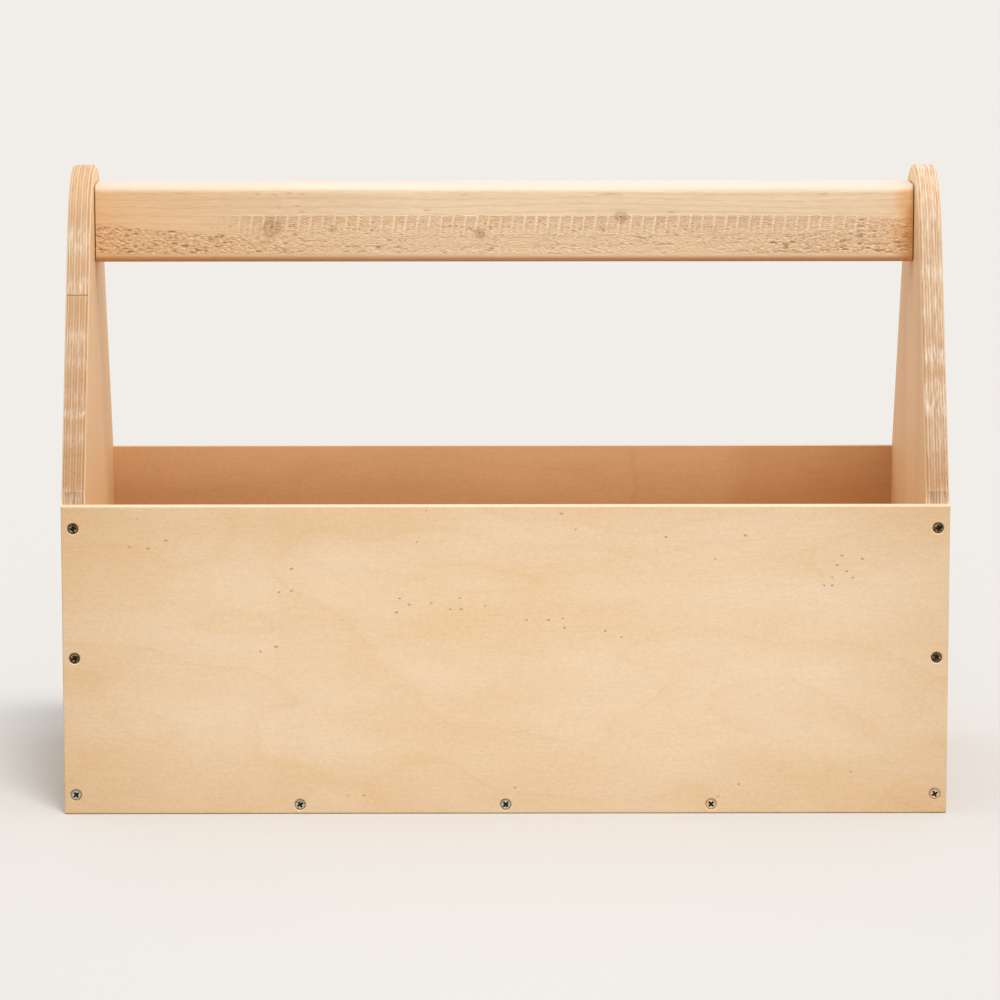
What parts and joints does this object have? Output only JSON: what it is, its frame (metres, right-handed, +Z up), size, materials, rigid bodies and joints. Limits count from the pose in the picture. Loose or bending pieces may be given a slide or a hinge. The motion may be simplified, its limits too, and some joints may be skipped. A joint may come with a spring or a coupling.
{
  "type": "tool tote",
  "caption": "Open wooden tool tote with gabled plywood ends, thin plywood sides and a round-edged batten handle between the crowns.",
  "frame": {"origin": "middle of the underside, which stands on the floor", "axes": "+X along the handle to the right end panel, front panel faces -Y, +Z up"},
  "size_m": [0.56, 0.267, 0.401],
  "materials": {
    "gable_plywood": "sanded, unfinished",
    "panel_plywood": "sanded, unfinished",
    "bottom_plywood": "sanded, unfinished",
    "handle_softwood": "planed, partly rough-sawn, unfinished",
    "zinc_screws": "yellow zinc plated"
  },
  "bodies": {
    "root": {"end_panel_left": "gable_plywood", "end_panel_right": "gable_plywood", "front_panel": "panel_plywood", "back_panel": "panel_plywood", "bottom_board": "bottom_plywood", "handle_rail": "handle_softwood", "front_left_screws": "zinc_screws", "front_right_screws": "zinc_screws", "front_bottom_screws": "zinc_screws", "back_left_screws": "zinc_screws", "back_right_screws": "zinc_screws", "back_bottom_screws": "zinc_screws", "handle_left_screws": "zinc_screws", "handle_right_screws": "zinc_screws", "base_left_screws": "zinc_screws", "base_right_screws": "zinc_screws"}
  },
  "joints": []
}
